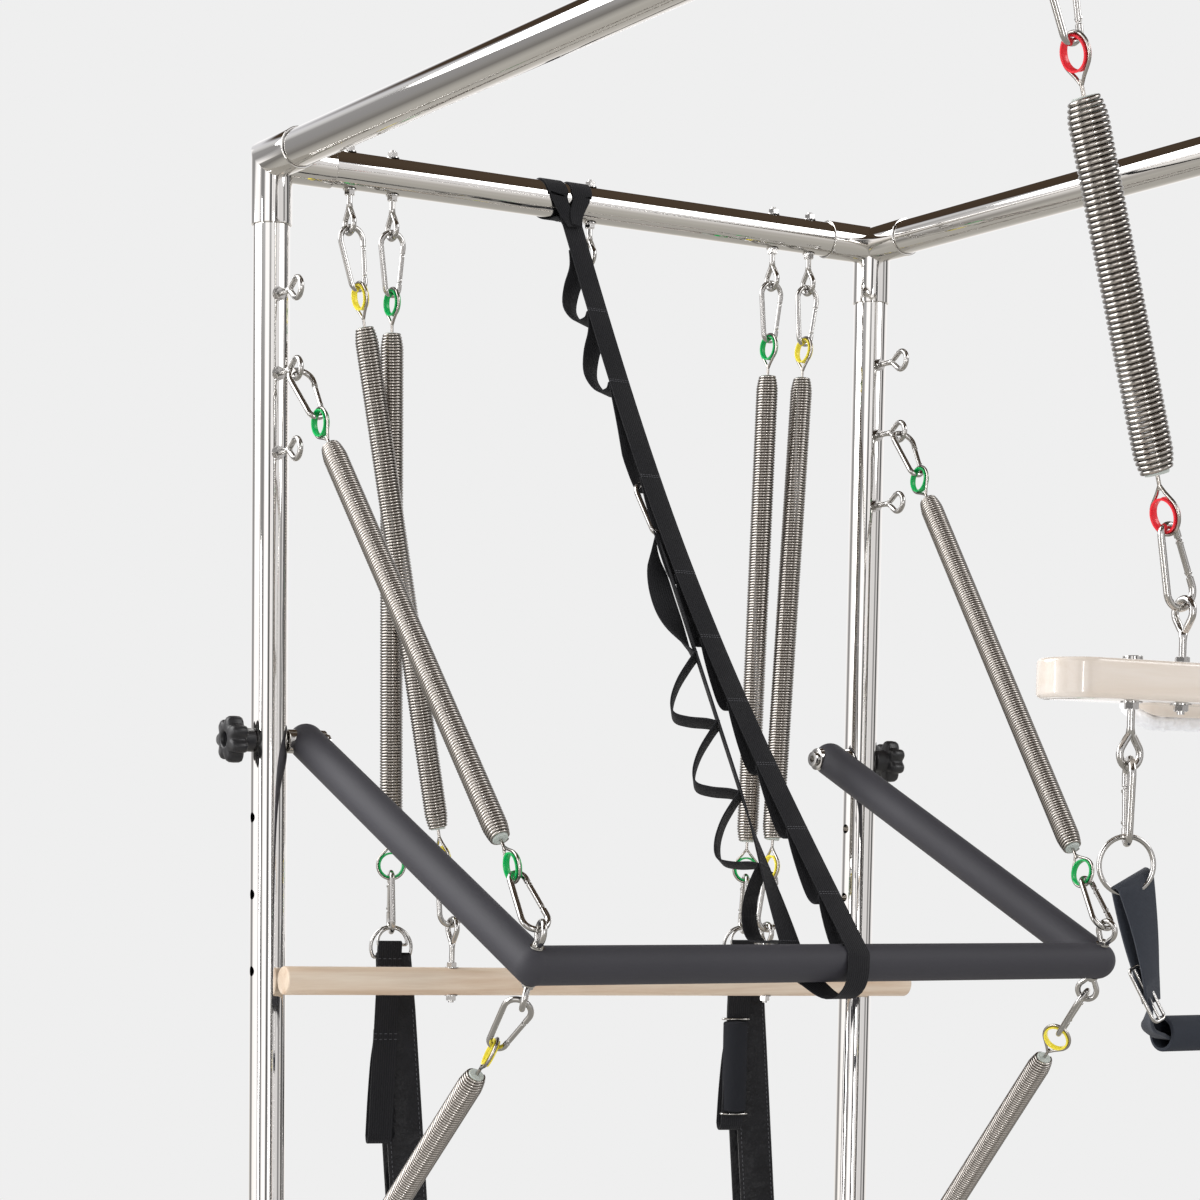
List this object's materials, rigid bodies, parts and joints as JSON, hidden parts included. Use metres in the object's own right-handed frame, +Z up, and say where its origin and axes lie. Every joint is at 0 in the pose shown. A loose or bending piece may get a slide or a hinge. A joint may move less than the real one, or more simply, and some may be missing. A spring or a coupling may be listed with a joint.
{
  "type": "pilates tower unit",
  "caption": "Free-standing canopy of polished tube with a push-through bar, roll-down bar, loop handles, safety strap and a sliding trapeze with a sling.",
  "frame": {"origin": "on the floor, under the middle of the tower", "axes": "+Z up; +Y along the tower, towards the end frame that carries the push-through bar; X across it"},
  "size_m": [0.872, 2.27, 2.125],
  "materials": {
    "polished_steel": "polished",
    "spring_steel": "satin",
    "black_coat": "textured matte",
    "black_plastic": "matte",
    "foam": "matte",
    "maple": "clear lacquer",
    "webbing": "matte",
    "fleece": "fluffy"
  },
  "bodies": {
    "frame": {"post_rear_left": "polished_steel", "post_rear_right": "polished_steel", "post_front_left": "polished_steel", "post_front_right": "polished_steel", "corner_rear_left": "polished_steel", "corner_rear_right": "polished_steel", "corner_front_left": "polished_steel", "corner_front_right": "polished_steel", "cross_tube_rear": "polished_steel", "cross_tube_front": "polished_steel", "side_tube_left": "polished_steel", "side_tube_right": "polished_steel", "pivot_bolt_left": "polished_steel", "pivot_bolt_right": "polished_steel", "hook_bar_top_left_top": "polished_steel", "hook_bar_top_right_top": "polished_steel", "hook_bar_low_left_top": "polished_steel", "hook_bar_low_right_top": "polished_steel", "spring_bar_top_left": "spring_steel", "spring_bar_top_right": "spring_steel", "spring_bar_low_left": "spring_steel", "spring_bar_low_right": "spring_steel", "safety_strap": "webbing", "strap_hook": "polished_steel"},
    "push_bar": {"push_bar": "black_coat", "hook_bar_top_left_low": "polished_steel", "hook_bar_top_right_low": "polished_steel", "hook_bar_low_left_low": "polished_steel", "hook_bar_low_right_low": "polished_steel"},
    "knob_left": {"knob_left": "black_plastic"},
    "knob_right": {"knob_right": "black_plastic"},
    "roll_chains": {"hook_roll_left_top": "polished_steel", "hook_roll_right_top": "polished_steel", "spring_roll_left": "spring_steel", "spring_roll_right": "spring_steel"},
    "roll_bar": {"hook_roll_left_low": "polished_steel", "hook_roll_right_low": "polished_steel", "roll_bar": "maple"},
    "handle_left_chain": {"hook_handle_left_top": "polished_steel", "spring_handle_left": "spring_steel"},
    "handle_left": {"hook_handle_left_low": "polished_steel", "loop_handle_left": "webbing"},
    "handle_right_chain": {"hook_handle_right_top": "polished_steel", "spring_handle_right": "spring_steel"},
    "handle_right": {"hook_handle_right_low": "polished_steel", "loop_handle_right": "webbing"},
    "slider": {"trapeze_slider": "polished_steel"},
    "trapeze_chains": {"hook_trapeze_left_top": "polished_steel", "hook_trapeze_right_top": "polished_steel", "spring_trapeze_left": "spring_steel", "spring_trapeze_right": "spring_steel"},
    "trapeze": {"hook_trapeze_left_low": "polished_steel", "hook_trapeze_right_low": "polished_steel", "trapeze_board": "maple", "trapeze_back_board": "maple", "fleece_pad": "fleece"},
    "sling": {"hook_sling_left": "polished_steel", "hook_sling_right": "polished_steel", "sling_strap": "webbing", "sling_grip": "foam"}
  },
  "joints": [
    {"name": "push_bar_swing", "type": "hinge", "parent": "frame", "child": "push_bar", "pos_m": [0, 1.08, 1.51], "axis": [-1, 0, 0], "range_deg": [0, 60], "deforming": ["spring_bar_top_left", "spring_bar_top_right", "spring_bar_low_left", "spring_bar_low_right", "safety_strap"]},
    {"name": "knob_left_turn", "type": "hinge", "parent": "frame", "child": "knob_left", "pos_m": [-0.381, 1.08, 1.51], "axis": [1, 0, 0], "continuous": true},
    {"name": "knob_right_turn", "type": "hinge", "parent": "frame", "child": "knob_right", "pos_m": [0.381, 1.08, 1.51], "axis": [1, 0, 0], "continuous": true},
    {"name": "roll_down_swing", "type": "hinge", "parent": "frame", "child": "roll_chains", "pos_m": [0, 1.08, 2.0465], "axis": [-1, 0, 0], "range_deg": [0, 18]},
    {"name": "roll_down_pull", "type": "slide", "parent": "roll_chains", "child": "roll_bar", "axis": [0, 0, -1], "range_m": [0, 0.25], "stiffness_N_per_m": 300, "springref_m": -0.1, "deforming": ["spring_roll_left", "spring_roll_right"]},
    {"name": "handle_left_swing", "type": "hinge", "parent": "frame", "child": "handle_left_chain", "pos_m": [-0.242, 1.08, 2.0465], "axis": [1, 0, 0], "range_deg": [0, 45]},
    {"name": "handle_left_pull", "type": "slide", "parent": "handle_left_chain", "child": "handle_left", "axis": [0, 0, -1], "range_m": [0, 0.25], "stiffness_N_per_m": 150, "springref_m": -0.1, "deforming": ["spring_handle_left"]},
    {"name": "handle_right_swing", "type": "hinge", "parent": "frame", "child": "handle_right_chain", "pos_m": [0.242, 1.08, 2.0465], "axis": [1, 0, 0], "range_deg": [0, 45]},
    {"name": "handle_right_pull", "type": "slide", "parent": "handle_right_chain", "child": "handle_right", "axis": [0, 0, -1], "range_m": [0, 0.25], "stiffness_N_per_m": 150, "springref_m": -0.1, "deforming": ["spring_handle_right"]},
    {"name": "slider_travel", "type": "slide", "parent": "frame", "child": "slider", "axis": [0, 1, 0], "range_m": [-0.95, 0.05]},
    {"name": "trapeze_swing", "type": "hinge", "parent": "slider", "child": "trapeze_chains", "pos_m": [0, -0.02, 2.062], "axis": [1, 0, 0], "range_deg": [-25, 25]},
    {"name": "trapeze_pull", "type": "slide", "parent": "trapeze_chains", "child": "trapeze", "axis": [0, 0, -1], "range_m": [0, 0.15], "stiffness_N_per_m": 600, "springref_m": -0.1, "deforming": ["spring_trapeze_left", "spring_trapeze_right"]},
    {"name": "sling_swing", "type": "hinge", "parent": "trapeze", "child": "sling", "pos_m": [0, -0.02, 1.4709], "axis": [1, 0, 0], "range_deg": [-30, 30]}
  ]
}
